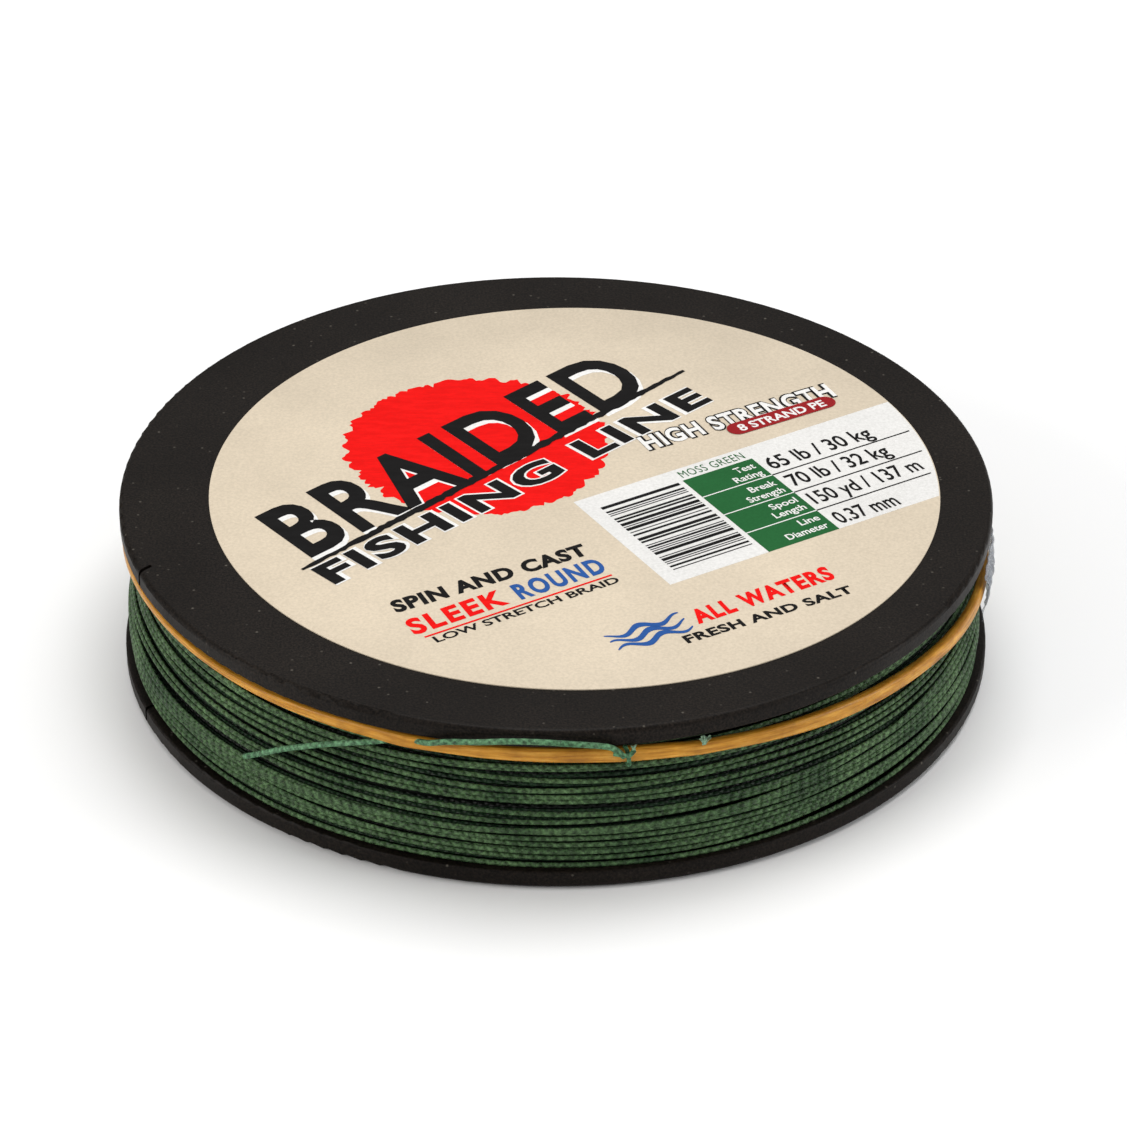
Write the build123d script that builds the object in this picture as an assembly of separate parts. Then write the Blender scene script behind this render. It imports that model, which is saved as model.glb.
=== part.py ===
from build123d import *
import math
import os

# Fishing line spool: two flanges on a drum, a wound pack of braided line, and a rubber
# band that keeps the line's free end. Millimetres. The spool's axis is Z, and the origin
# is the mouth of the axle bore, in the plane that the spool stands on.

# Flanges and drum
FLANGE_R = 38.0
FLANGE_T = 1.6
SPOOL_H = 15.6
RIM_ROUND = 0.45
INNER_ROUND = 0.2
SLIT_W = 0.35
SLIT_DEPTH = 1.4
SLIT_AZIMUTH = -158.4
SLIT_SKEW = 24.0
BARREL_R = 27.0
BARREL_WALL = 1.5
SLEEVE_R = 6.5
BORE_R = 5.0
RIB_COUNT = 6
RIB_T = 1.2
RIB_OVERLAP = 0.3
RIB_END_GAP = 0.4
SPIGOT_DEPTH = 1.0
SPIGOT_WALL = 1.2
SPIGOT_PLAY = 0.05
SLEEVE_LAND = 2.0
RECESS_R = 24.0
RECESS_DEPTH = 0.35

# Label
LABEL_R = 31.8
LABEL_T = 0.12
LABEL_X = 1.6
LABEL_Y = -0.15

# Wound line
PACK_INNER_R = 27.15
PACK_TOP_R = 36.75
PACK_CROWN_R = 37.6
PACK_BOTTOM_R = 37.2
PACK_CROWN_Z = 5.0
PACK_BAND_Z = 8.4
ANCHOR_T = 0.1
ANCHOR_SPAN = 32.0
ANCHOR_H = 8.0

# Rubber band: its middle height as a function of the distance along its downhill way
BAND_INNER_R = 36.95
BAND_T = 0.9
BAND_W = 1.36
BAND_HIGH_AZIMUTH = -125.0
BAND_HEIGHTS = [(-40.0, 9.6), (-19.0, 10.0), (0.0, 11.2), (24.3, 12.75), (31.5, 13.15), (40.0, 13.2)]

# Clear tape over the band
TAPE_AZIMUTH = -6.0
TAPE_SPAN = 15.0
TAPE_T = 0.15
TAPE_W = 6.2
TAPE_Z = 10.2
TAPE_INNER_R = BAND_INNER_R + BAND_T + 0.05

# Line's free end: azimuth in degrees, radius and height of each point of its route
LINE_D = 0.5
TAIL_BEND_SHARE = 0.45
TAIL_ROUTE = [
    (-133.0, 37.95, 6.1),
    (-129.6, 38.05, 7.5),
    (-126.3, 38.15, 8.9),
    (-122.8, 38.2, 10.1),
    (-119.2, 38.2, 11.2),
    (-115.6, 38.05, 12.0),
    (-112.2, 37.65, 12.55),
    (-109.4, 37.3, 13.0),
    (-107.4, 37.75, 13.35),
    (-105.6, 38.4, 13.75),
    (-103.0, 38.5, 14.3),
    (-99.4, 38.6, 14.6),
    (-95.6, 38.65, 15.0),
    (-91.6, 38.6, 15.0),
    (-87.8, 38.55, 14.75),
    (-84.8, 38.5, 14.5),
    (-82.6, 38.4, 14.1),
    (-81.6, 38.3, 13.1),
]
HITCH_AZIMUTH = -81.2
HITCH_D = 0.5
HITCH_WIDTH = 0.9
HITCH_ROUND = 0.45
HITCH_PLAY = 0.02
HITCH_PACK_GAP = 0.1
HITCH_FLANGE_GAP = 0.08
TAG_AZIMUTH = -71.4
TAG_LENGTH = 1.1
TAG_R = 0.3
TAG_ROOT_R = 0.24
TAG_GAP = 0.25
TAG_RISE = 0.3

# How far a cutting shape reaches past the part that it cuts
OVERCUT = 1.0


def at(azimuth, radius, height):
    angle = math.radians(azimuth)
    return Vector(radius * math.cos(angle), radius * math.sin(angle), height)


def ring(outer_r, inner_r, low, high):
    outer = Pos(0, 0, (low + high) / 2) * Cylinder(outer_r, high - low)
    return outer - Pos(0, 0, (low + high) / 2) * Cylinder(inner_r, high - low + 2 * OVERCUT)


def rim_slit(low, high):
    """Narrow slanted cut through a flange's rim, which grips the line's end."""
    cut = Box(2 * SLIT_DEPTH, SLIT_W, high - low + 2 * OVERCUT)
    cut = Rot(0, 0, SLIT_SKEW) * cut
    return Rot(0, 0, SLIT_AZIMUTH) * Pos(FLANGE_R, 0, (low + high) / 2) * cut


def turned_flange(profile, outer_face, inner_face):
    """Flange turned from a half section, its two rim edges rounded, with its slit cut."""
    section = make_face(Polyline(*profile, close=True))
    for height, radius in ((outer_face, RIM_ROUND), (inner_face, INNER_ROUND)):
        corners = section.vertices().filter_by(
            lambda corner: corner.X > FLANGE_R - 0.01 and abs(corner.Y - height) < 0.01
        )
        section = fillet(corners, radius)
    disc = revolve(Plane.XZ * section, Axis.Z)
    return disc - rim_slit(min(outer_face, inner_face), max(outer_face, inner_face))


def flange(outer_face, inner_face, spigot_end):
    """Solid round flange with a thin spigot ring that centres it in the barrel."""
    spigot_r = BARREL_R - BARREL_WALL - SPIGOT_PLAY
    profile = [
        (0, inner_face),
        (spigot_r - SPIGOT_WALL, inner_face),
        (spigot_r - SPIGOT_WALL, spigot_end),
        (spigot_r, spigot_end),
        (spigot_r, inner_face),
        (FLANGE_R, inner_face),
        (FLANGE_R, outer_face),
        (0, outer_face),
    ]
    return turned_flange(profile, outer_face, inner_face)


def make_upper_flange():
    low = SPOOL_H - FLANGE_T
    return flange(SPOOL_H, low, low - SPIGOT_DEPTH)


def make_lower_flange():
    lower = flange(0, FLANGE_T, FLANGE_T + SPIGOT_DEPTH)
    lower -= Pos(0, 0, FLANGE_T / 2) * Cylinder(SLEEVE_R, FLANGE_T + 2 * OVERCUT)
    return lower - ring(RECESS_R, SLEEVE_R + SLEEVE_LAND, -RECESS_DEPTH, RECESS_DEPTH)


def make_core_drum():
    low = FLANGE_T
    high = SPOOL_H - FLANGE_T
    barrel = ring(BARREL_R, BARREL_R - BARREL_WALL, low, high)
    sleeve = ring(SLEEVE_R, BORE_R, 0, high)
    rib_low = low + SPIGOT_DEPTH + RIB_END_GAP
    rib_high = high - SPIGOT_DEPTH - RIB_END_GAP
    rib_length = BARREL_R - BARREL_WALL - SLEEVE_R + 2 * RIB_OVERLAP
    rib_middle = SLEEVE_R - RIB_OVERLAP + rib_length / 2
    drum = barrel + sleeve
    for index in range(RIB_COUNT):
        rib = Pos(rib_middle, 0, (rib_low + rib_high) / 2) * Box(rib_length, RIB_T, rib_high - rib_low)
        drum += Rot(0, 0, 360 / RIB_COUNT * index) * rib
    return drum


def make_front_label():
    return Pos(LABEL_X, LABEL_Y, SPOOL_H + LABEL_T / 2) * Cylinder(LABEL_R, LABEL_T)


def sector(span, radius, height):
    """Wedge of the given angle about the X axis, for cutting an arc out of a ring."""
    half = math.radians(span / 2)
    far = radius / math.cos(half)
    corner_x = far * math.cos(half)
    corner_y = far * math.sin(half)
    outline = Polyline((0, 0), (corner_x, corner_y), (corner_x, -corner_y), close=True)
    return extrude(make_face(outline), height, both=True)


def make_anchor_tape():
    middle = SPOOL_H / 2
    tape = ring(BARREL_R + ANCHOR_T, BARREL_R, middle - ANCHOR_H / 2, middle + ANCHOR_H / 2)
    return tape & sector(ANCHOR_SPAN, FLANGE_R, SPOOL_H)


def make_line_pack():
    """Ring of wound line: straight under the band, crowned below it."""
    low = FLANGE_T
    high = SPOOL_H - FLANGE_T
    crown = ThreePointArc(
        (PACK_TOP_R, PACK_BAND_Z), (PACK_CROWN_R, PACK_CROWN_Z), (PACK_BOTTOM_R, low)
    )
    sides = Polyline(
        (PACK_BOTTOM_R, low), (PACK_INNER_R, low), (PACK_INNER_R, high), (PACK_TOP_R, high),
        (PACK_TOP_R, PACK_BAND_Z),
    )
    outline = make_face(Curve() + [crown, sides])
    return revolve(Plane.XZ * outline, Axis.Z)


def band_slab(half_width):
    """Slab that follows the band's slant, as wide as the spool across it."""
    reach = BAND_HEIGHTS[-1][0]
    middle = Spline(*BAND_HEIGHTS)
    top = Pos(0, half_width) * middle
    bottom = Pos(0, -half_width) * middle
    first = Line(bottom @ 0, top @ 0)
    last = Line(bottom @ 1, top @ 1)
    outline = make_face(Curve() + [top, last, bottom, first])
    slab = extrude(Plane.XZ * outline, reach * 1.2, both=True)
    return Rot(0, 0, BAND_HIGH_AZIMUTH) * slab


def make_rubber_band():
    tube = ring(BAND_INNER_R + BAND_T, BAND_INNER_R, FLANGE_T, SPOOL_H)
    return tube & band_slab(BAND_W / 2)


def make_clear_tape():
    tape = ring(TAPE_INNER_R + TAPE_T, TAPE_INNER_R, TAPE_Z - TAPE_W / 2, TAPE_Z + TAPE_W / 2)
    return tape & (Rot(0, 0, TAPE_AZIMUTH) * sector(TAPE_SPAN, TAPE_INNER_R + OVERCUT, SPOOL_H))


def route_radii(points):
    """Arc radius at each inner point, so that each bend takes a set share of its shorter run."""
    radii = []
    for before, here, after in zip(points, points[1:], points[2:]):
        run_in = here - before
        run_out = after - here
        half_turn = math.radians(run_in.get_angle(run_out) / 2)
        radii.append(TAIL_BEND_SHARE * min(run_in.length, run_out.length) / math.tan(half_turn))
    return radii


def make_line_tail():
    points = [at(*place) for place in TAIL_ROUTE]
    radii = route_radii(points)
    path = FilletPolyline(*points, radius=radii)
    section = Plane(path @ 0, z_dir=path % 0) * Circle(LINE_D / 2)
    tail = sweep(section, path)
    expected = math.pi * LINE_D**2 / 4 * path.length
    print("line_tail length", round(path.length, 2))
    print("line_tail volume", round(tail.volume, 3), "of", round(expected, 3))
    return tail


def band_height(azimuth):
    """Height of the band's middle at an azimuth, read from its slanted mid-line."""
    along = (BAND_INNER_R + BAND_T / 2) * math.cos(math.radians(azimuth - BAND_HIGH_AZIMUTH))
    cut = Line((along, 0), (along, SPOOL_H))
    return Spline(*BAND_HEIGHTS).intersect(cut)[0].Y


def make_line_knot():
    """Turn of the hitch round the band: a rounded rectangular collar of line."""
    middle = band_height(HITCH_AZIMUTH)
    inner_x = BAND_T + HITCH_PLAY
    inner_z = BAND_W + HITCH_PLAY
    collar = Box(inner_x + 2 * HITCH_D, HITCH_WIDTH, inner_z + 2 * HITCH_D)
    collar = fillet(collar.edges().filter_by(Axis.Y), HITCH_ROUND)
    collar -= Box(inner_x, HITCH_WIDTH + 2 * OVERCUT, inner_z)
    # The half that would press into the winding is left out: the line lies flat there.
    pack_face = PACK_TOP_R + HITCH_PACK_GAP - (BAND_INNER_R + BAND_T / 2)
    flange_face = SPOOL_H - FLANGE_T - HITCH_FLANGE_GAP - middle
    reach = SPOOL_H / 2
    keep = Pos(pack_face + reach, 0, flange_face - reach) * Box(2 * reach, 2 * reach, 2 * reach)
    collar = collar & keep
    return Rot(0, 0, HITCH_AZIMUTH) * Pos(BAND_INNER_R + BAND_T / 2, 0, middle) * collar


def make_line_tag():
    """Frayed tip, a small tapered tuft that stands out over the band's upper edge."""
    radius = BAND_INNER_R + BAND_T + TAG_R + TAG_GAP
    root = at(TAG_AZIMUTH, radius, band_height(TAG_AZIMUTH) + TAG_RISE)
    return Pos(root.X, root.Y, root.Z + TAG_LENGTH / 2) * Cone(TAG_ROOT_R, TAG_R, TAG_LENGTH)


def write(name, solid):
    solid.label = name
    export_step(solid, f"parts/{name}.step")


os.makedirs("parts", exist_ok=True)
write("upper_flange", make_upper_flange())
write("lower_flange", make_lower_flange())
write("core_drum", make_core_drum())
write("front_label", make_front_label())
write("anchor_tape", make_anchor_tape())
write("line_pack", make_line_pack())
write("rubber_band", make_rubber_band())
write("clear_tape", make_clear_tape())
write("line_tail", make_line_tail())
write("line_knot", make_line_knot())
write("line_tag", make_line_tag())
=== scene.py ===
import math
import random

import bpy
from mathutils import Matrix, Vector


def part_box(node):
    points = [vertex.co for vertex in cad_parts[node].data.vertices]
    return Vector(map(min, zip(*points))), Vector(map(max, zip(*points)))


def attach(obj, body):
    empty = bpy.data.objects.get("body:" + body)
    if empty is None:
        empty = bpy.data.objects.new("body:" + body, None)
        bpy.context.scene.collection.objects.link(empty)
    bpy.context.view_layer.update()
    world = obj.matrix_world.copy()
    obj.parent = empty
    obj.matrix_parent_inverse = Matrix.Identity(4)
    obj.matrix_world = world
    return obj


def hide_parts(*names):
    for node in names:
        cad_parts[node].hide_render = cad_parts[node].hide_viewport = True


# Fishing line spool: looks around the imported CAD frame. Metres, +Z along the spool's axis.

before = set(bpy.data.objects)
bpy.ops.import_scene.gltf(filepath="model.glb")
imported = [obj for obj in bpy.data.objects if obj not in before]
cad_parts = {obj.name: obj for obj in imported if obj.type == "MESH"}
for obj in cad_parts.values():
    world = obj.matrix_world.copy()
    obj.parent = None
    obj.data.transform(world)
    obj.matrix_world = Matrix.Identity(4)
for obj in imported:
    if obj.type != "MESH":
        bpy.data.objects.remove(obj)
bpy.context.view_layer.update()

MM = 0.001
SPOOL = "spool"
BAND = "keeper_band"

FLANGE_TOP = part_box("upper_flange")[1][2]
FLANGE_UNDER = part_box("line_pack")[1][2]
FLANGE_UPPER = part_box("line_pack")[0][2]
FLANGE_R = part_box("upper_flange")[1][0]
LABEL_LOW, LABEL_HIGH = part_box("front_label")
LABEL_X = (LABEL_LOW[0] + LABEL_HIGH[0]) / 2
LABEL_Y = (LABEL_LOW[1] + LABEL_HIGH[1]) / 2
LABEL_Z = LABEL_HIGH[2]
LABEL_R = (LABEL_HIGH[0] - LABEL_LOW[0]) / 2

LINE_D = 0.50 * MM
STRAND_R = 0.215 * MM
PACK_TOP_R = 36.75 * MM
PACK_CROWN_R = 37.6 * MM
PACK_BOTTOM_R = 37.45 * MM
PACK_CROWN_Z = 5.0 * MM

BAND_INNER_R = 36.95 * MM
BAND_T = 0.9 * MM
BAND_W = 1.36 * MM
BAND_HIGH_AZIMUTH = math.radians(-125.0)
BAND_HEIGHTS = [(-40.0, 9.6), (-19.0, 10.0), (0.0, 11.2), (24.3, 12.75), (31.5, 13.15), (40.0, 13.2)]

# The loose end's route, the same points as in the CAD source: azimuth, radius, height
TAIL_ROUTE = [
    (-133.0, 37.95, 6.1),
    (-129.6, 38.05, 7.5),
    (-126.3, 38.15, 8.9),
    (-122.8, 38.2, 10.1),
    (-119.2, 38.2, 11.2),
    (-115.6, 38.05, 12.0),
    (-112.2, 37.65, 12.55),
    (-109.4, 37.3, 13.0),
    (-107.4, 37.75, 13.35),
    (-105.6, 38.4, 13.75),
    (-103.0, 38.5, 14.3),
    (-99.4, 38.6, 14.6),
    (-95.6, 38.65, 15.0),
    (-91.6, 38.6, 15.0),
    (-87.8, 38.55, 14.75),
    (-84.8, 38.5, 14.5),
    (-82.6, 38.4, 14.1),
    (-81.6, 38.3, 13.1),
]
HITCH_AZIMUTH = math.radians(-81.2)
TAG_AZIMUTH = math.radians(-71.4)


def at(azimuth, radius, height):
    return Vector((radius * math.cos(azimuth), radius * math.sin(azimuth), height))


# ---------------------------------------------------------------- materials


class Nodes:
    """Short way to add and join shader nodes in one material."""

    def __init__(self, name):
        self.material = bpy.data.materials.new(name)
        self.material.use_nodes = True
        self.tree = self.material.node_tree
        self.shader = self.tree.nodes["Principled BSDF"]
        self.coords = None

    def add(self, kind, **settings):
        node = self.tree.nodes.new(kind)
        for key, value in settings.items():
            setattr(node, key, value)
        return node

    def link(self, source, target):
        self.tree.links.new(source, target)

    def object_coords(self, scale=(1, 1, 1), source="Object"):
        if self.coords is None:
            self.coords = self.add("ShaderNodeTexCoord")
        mapping = self.add("ShaderNodeMapping")
        mapping.inputs["Scale"].default_value = scale
        self.link(self.coords.outputs[source], mapping.inputs["Vector"])
        return mapping.outputs["Vector"]

    def noise(self, vector, scale, detail=3.0, roughness=0.55, distortion=0.0):
        node = self.add("ShaderNodeTexNoise")
        node.inputs["Scale"].default_value = scale
        node.inputs["Detail"].default_value = detail
        node.inputs["Roughness"].default_value = roughness
        node.inputs["Distortion"].default_value = distortion
        self.link(vector, node.inputs["Vector"])
        return node.outputs["Fac"]

    def ramp(self, value, stops):
        node = self.add("ShaderNodeValToRGB")
        ramp = node.color_ramp
        while len(ramp.elements) < len(stops):
            ramp.elements.new(0.5)
        for element, (place, colour) in zip(ramp.elements, stops):
            element.position = place
            element.color = (*colour, 1.0)
        self.link(value, node.inputs["Fac"])
        return node.outputs["Color"]

    def value_range(self, value, low, high, to_low, to_high):
        node = self.add("ShaderNodeMapRange")
        node.inputs["From Min"].default_value = low
        node.inputs["From Max"].default_value = high
        node.inputs["To Min"].default_value = to_low
        node.inputs["To Max"].default_value = to_high
        self.link(value, node.inputs["Value"])
        return node.outputs["Result"]

    def math(self, operation, first, second):
        node = self.add("ShaderNodeMath", operation=operation)
        for socket, item in zip(node.inputs, (first, second)):
            if isinstance(item, (int, float)):
                socket.default_value = item
            else:
                self.link(item, socket)
        return node.outputs["Value"]

    def mix(self, factor, first, second, blend="MIX"):
        node = self.add("ShaderNodeMix", data_type="RGBA", blend_type=blend)
        for socket, item in ((node.inputs[0], factor), (node.inputs[6], first), (node.inputs[7], second)):
            if isinstance(item, (int, float)):
                socket.default_value = item
            elif isinstance(item, tuple):
                socket.default_value = (*item, 1.0)
            else:
                self.link(item, socket)
        return node.outputs[2]

    def bump(self, height, strength, distance, normal=None):
        node = self.add("ShaderNodeBump")
        node.inputs["Strength"].default_value = strength
        node.inputs["Distance"].default_value = distance
        self.link(height, node.inputs["Height"])
        if normal is not None:
            self.link(normal, node.inputs["Normal"])
        return node.outputs["Normal"]

    def finish(self, colour=None, roughness=None, normal=None):
        for name, item in (("Base Color", colour), ("Roughness", roughness), ("Normal", normal)):
            if item is None:
                continue
            socket = self.shader.inputs[name]
            if isinstance(item, (int, float)):
                socket.default_value = item
            else:
                self.link(item, socket)
        return self.material


def black_plastic():
    """Matt black moulding: fine grain, dust specks, slightly brown, with soft wear."""
    n = Nodes("black_moulded_plastic")
    place = n.object_coords()
    cloud = n.noise(place, 60.0, 4.0)
    grain = n.noise(place, 5200.0, 2.0, 0.6)
    base = n.ramp(cloud, [(0.3, (0.0048, 0.0036, 0.0029)), (0.7, (0.0092, 0.0073, 0.0060))])
    grain_tone = n.ramp(grain, [(0.36, (0.35, 0.34, 0.33)), (0.7, (2.5, 2.35, 2.2))])
    base = n.mix(0.85, base, grain_tone, "MULTIPLY")
    specks = n.add("ShaderNodeTexVoronoi")
    specks.inputs["Scale"].default_value = 1250.0
    n.link(place, specks.inputs["Vector"])
    near = n.value_range(specks.outputs["Distance"], 0.0, 0.19, 1.0, 0.0)
    chosen = n.add("ShaderNodeSeparateColor")
    n.link(specks.outputs["Color"], chosen.inputs["Color"])
    rare = n.value_range(chosen.outputs["Red"], 0.7, 1.0, 0.0, 0.7)
    dust = n.math("MULTIPLY", near, rare)
    base = n.mix(dust, base, (0.2, 0.18, 0.15))
    smudge = n.noise(place, 140.0, 5.0, 0.6, 0.6)
    rough = n.value_range(smudge, 0.3, 0.7, 0.4, 0.56)
    normal = n.bump(grain, 0.3, 0.00004)
    n.shader.inputs["Specular IOR Level"].default_value = 0.09
    return n.finish(base, rough, normal)


def paper_material(name, colour, gloss=0.42):
    """Smooth printed paper in one ink colour, with faint fibres and tone changes."""
    n = Nodes(name)
    place = n.object_coords()
    tone = n.noise(place, 90.0, 5.0, 0.6)
    fibre = n.noise(place, 3800.0, 3.0, 0.65)
    dark = tuple(c * 0.93 for c in colour)
    light = tuple(min(1.0, c * 1.04) for c in colour)
    base = n.ramp(tone, [(0.3, dark), (0.7, light)])
    speck = n.ramp(fibre, [(0.34, (0.82, 0.82, 0.81)), (0.66, (1.05, 1.05, 1.05))])
    base = n.mix(0.6, base, speck, "MULTIPLY")
    rough = n.value_range(tone, 0.3, 0.7, gloss - 0.05, gloss + 0.08)
    normal = n.bump(fibre, 0.12, 0.00002)
    n.shader.inputs["Specular IOR Level"].default_value = 0.08
    return n.finish(base, rough, normal)


def brushed_ink(name, colour):
    """Ink laid on like a dry brush stroke: ragged streaks of lighter tone."""
    n = Nodes(name)
    place = n.object_coords((1.0, 5.0, 1.0))
    streak = n.noise(place, 420.0, 5.0, 0.7, 0.5)
    fine = n.noise(n.object_coords(), 2400.0, 3.0, 0.6)
    base = n.ramp(streak, [(0.42, colour), (0.72, tuple(min(1.0, c * 1.2 + 0.004) for c in colour))])
    tone = n.ramp(fine, [(0.3, (0.9, 0.9, 0.9)), (0.7, (1.05, 1.05, 1.05))])
    base = n.mix(0.5, base, tone, "MULTIPLY")
    rough = n.value_range(streak, 0.3, 0.7, 0.4, 0.55)
    normal = n.bump(fine, 0.1, 0.00002)
    n.shader.inputs["Specular IOR Level"].default_value = 0.05
    return n.finish(base, rough, normal)


def braid_material(name, dark, light, bumps=1.0):
    """Braided polyethylene. UV runs along the line in u (metres) and round it in v (0 to 1)."""
    n = Nodes(name)
    place = n.object_coords(source="UV")
    split = n.add("ShaderNodeSeparateXYZ")
    n.link(place, split.inputs["Vector"])
    along = n.math("MULTIPLY", split.outputs["X"], 2 * math.pi / (0.95 * MM))
    around = n.math("MULTIPLY", split.outputs["Y"], 2 * math.pi * 2)
    one_way = n.math("SINE", n.math("ADD", along, around), 0.0)
    other_way = n.math("SINE", n.math("SUBTRACT", along, around), 0.0)
    braid = n.math("MAXIMUM", one_way, other_way)
    solid = n.object_coords()
    patch = n.noise(solid, 170.0, 4.0, 0.6)
    fuzz = n.noise(solid, 3000.0, 3.0, 0.7)
    base = n.ramp(patch, [(0.28, dark), (0.72, light)])
    # Painted shade in the weave's grooves and painted highlight on its crests, multiplied into the colour; the fuzz
    # noise also paints glints and dark specks into it.
    painted_weave_shade_and_glints = n.value_range(braid, -0.4, 1.0, 0.66, 1.16)
    painted_weave_shade_and_glints = n.math("MULTIPLY", painted_weave_shade_and_glints, n.value_range(fuzz, 0.32, 0.68, 0.34, 1.7))
    painted_shade_and_glint_tint = n.add("ShaderNodeCombineColor")
    for socket in painted_shade_and_glint_tint.inputs[:3]:
        n.link(painted_weave_shade_and_glints, socket)
    base = n.mix(1.0, base, painted_shade_and_glint_tint.outputs["Color"], "MULTIPLY")
    rough = n.value_range(fuzz, 0.3, 0.7, 0.42, 0.62)
    height = n.math("ADD", braid, n.math("MULTIPLY", fuzz, 0.7))
    normal = n.bump(height, 0.7 * bumps, 0.00008)
    n.shader.inputs["Specular IOR Level"].default_value = 0.22
    return n.finish(base, rough, normal)


def rubber_material():
    """Stretched tan rubber band: waxy, streaked along its length."""
    n = Nodes("band_rubber_tan")
    streak = n.noise(n.object_coords((7.0, 26.0, 1.0), source="UV"), 2.2, 4.0, 0.6)
    blotch = n.noise(n.object_coords(), 420.0, 4.0, 0.6)
    grain = n.noise(n.object_coords(), 3600.0, 3.0, 0.6)
    base = n.ramp(streak, [(0.3, (0.3, 0.115, 0.007)), (0.5, (0.5, 0.225, 0.018)), (0.72, (0.68, 0.36, 0.06))])
    tone = n.ramp(blotch, [(0.3, (0.66, 0.6, 0.5)), (0.7, (1.14, 1.14, 1.16))])
    base = n.mix(0.8, base, tone, "MULTIPLY")
    rough = n.value_range(grain, 0.3, 0.7, 0.3, 0.5)
    normal = n.bump(grain, 0.25, 0.00005)
    n.shader.inputs["Specular IOR Level"].default_value = 0.25
    n.shader.inputs["Subsurface Weight"].default_value = 0.15
    n.shader.inputs["Subsurface Radius"].default_value = (0.0012, 0.0006, 0.0002)
    n.shader.inputs["Subsurface Scale"].default_value = 0.5
    return n.finish(base, rough, normal)


def film_material():
    """Clear adhesive tape gone slightly grey, with fine creases."""
    n = Nodes("clear_tape_film")
    place = n.object_coords()
    crease = n.noise(n.object_coords((1.0, 1.0, 0.35)), 1500.0, 4.0, 0.65, 1.2)
    tone = n.noise(place, 500.0, 3.0)
    base = n.ramp(tone, [(0.35, (0.07, 0.085, 0.11)), (0.65, (0.22, 0.25, 0.31))])
    rough = n.value_range(tone, 0.3, 0.7, 0.16, 0.32)
    normal = n.bump(crease, 0.5, 0.0001)
    n.shader.inputs["Alpha"].default_value = 0.5
    n.shader.inputs["IOR"].default_value = 1.46
    return n.finish(base, rough, normal)


# ---------------------------------------------------------------- mesh helpers


def new_mesh_object(name, points, faces, material, uvs=None, smooth=True):
    mesh = bpy.data.meshes.new(name)
    mesh.from_pydata(points, [], faces)
    if uvs is not None:
        layer = mesh.uv_layers.new(name="UVMap")
        layer.data.foreach_set("uv", [value for pair in uvs for value in pair])
    if smooth:
        mesh.polygons.foreach_set("use_smooth", [True] * len(mesh.polygons))
    mesh.materials.append(material)
    mesh.update()
    piece = bpy.data.objects.new(name, mesh)
    bpy.context.scene.collection.objects.link(piece)
    return piece


def tube_data(path, radius, sides, closed=False, squash=1.0, outward=None, start_u=0.0):
    """Points, faces and loop UVs of a round or flattened tube that follows a path."""
    count = len(path)
    points, faces, uvs = [], [], []
    travelled = [start_u]
    for here, following in zip(path, path[1:]):
        travelled.append(travelled[-1] + (following - here).length)
    for index, here in enumerate(path):
        before = path[index - 1] if index > 0 or closed else here
        after = path[(index + 1) % count] if index < count - 1 or closed else here
        forward = (after - before).normalized()
        out = outward(here) if outward else Vector((here.x, here.y, 0)).normalized()
        side = forward.cross(out).normalized()
        out = side.cross(forward).normalized()
        size = radius(index) if callable(radius) else radius
        for step in range(sides):
            angle = 2 * math.pi * step / sides
            points.append(here + out * (math.cos(angle) * size * squash) + side * (math.sin(angle) * size))
    runs = count if closed else count - 1
    for index in range(runs):
        low = index * sides
        high = (index + 1) % count * sides
        u0 = travelled[index]
        u1 = travelled[index + 1] if index + 1 < count else travelled[index] + (path[0] - path[-1]).length
        for step in range(sides):
            following = (step + 1) % sides
            faces.append((low + step, high + step, high + following, low + following))
            v0 = step / sides
            v1 = (step + 1) / sides
            uvs.extend([(u0, v0), (u1, v0), (u1, v1), (u0, v1)])
    if not closed:
        for ring, flip in ((0, False), (count - 1, True)):
            loop = [ring * sides + step for step in range(sides)]
            faces.append(tuple(loop if not flip else reversed(loop)))
            uvs.extend([(travelled[ring], step / sides) for step in range(sides)])
    return points, faces, uvs


def join_tubes(name, tubes, material):
    points, faces, uvs = [], [], []
    for tube_points, tube_faces, tube_uvs in tubes:
        base = len(points)
        points.extend(tube_points)
        faces.extend(tuple(base + index for index in face) for face in tube_faces)
        uvs.extend(tube_uvs)
    return new_mesh_object(name, points, faces, material, uvs)


def smooth_noise(rng, count, waves):
    """Seeded periodic wander: the sum of a few sine waves round a full turn."""
    parts = []
    for wave in range(1, waves + 1):
        parts.append((wave, rng.gauss(0, 1) / wave**0.6, rng.uniform(0, 2 * math.pi)))
    scale = math.sqrt(sum(weight**2 for _, weight, _ in parts) / 2) or 1.0
    return [
        sum(weight * math.sin(wave * 2 * math.pi * index / count + phase) for wave, weight, phase in parts) / scale
        for index in range(count)
    ]


# ---------------------------------------------------------------- stage, light and camera


def make_stage():
    size = 1.6
    floor = new_mesh_object(
        "floor",
        [(-size, -size, 0), (size, -size, 0), (size, size, 0), (-size, size, 0)],
        [(0, 1, 2, 3)],
        floor_material(),
        smooth=False,
    )
    floor.location.z = -0.0002


def floor_material():
    n = Nodes("pale_floor")
    tone = n.noise(n.object_coords(), 3.0, 2.0)
    base = n.ramp(tone, [(0.3, (0.9, 0.9, 0.9)), (0.7, (0.93, 0.93, 0.93))])
    return n.finish(base, 0.85)


def add_area(name, place, aim, size, energy, colour=(1, 1, 1)):
    data = bpy.data.lights.new(name, "AREA")
    data.shape = "RECTANGLE"
    data.size, data.size_y = size
    data.energy = energy
    data.color = colour
    light = bpy.data.objects.new(name, data)
    light.location = place
    direction = Vector(aim) - Vector(place)
    light.rotation_euler = direction.to_track_quat("-Z", "Y").to_euler()
    bpy.context.scene.collection.objects.link(light)


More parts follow.
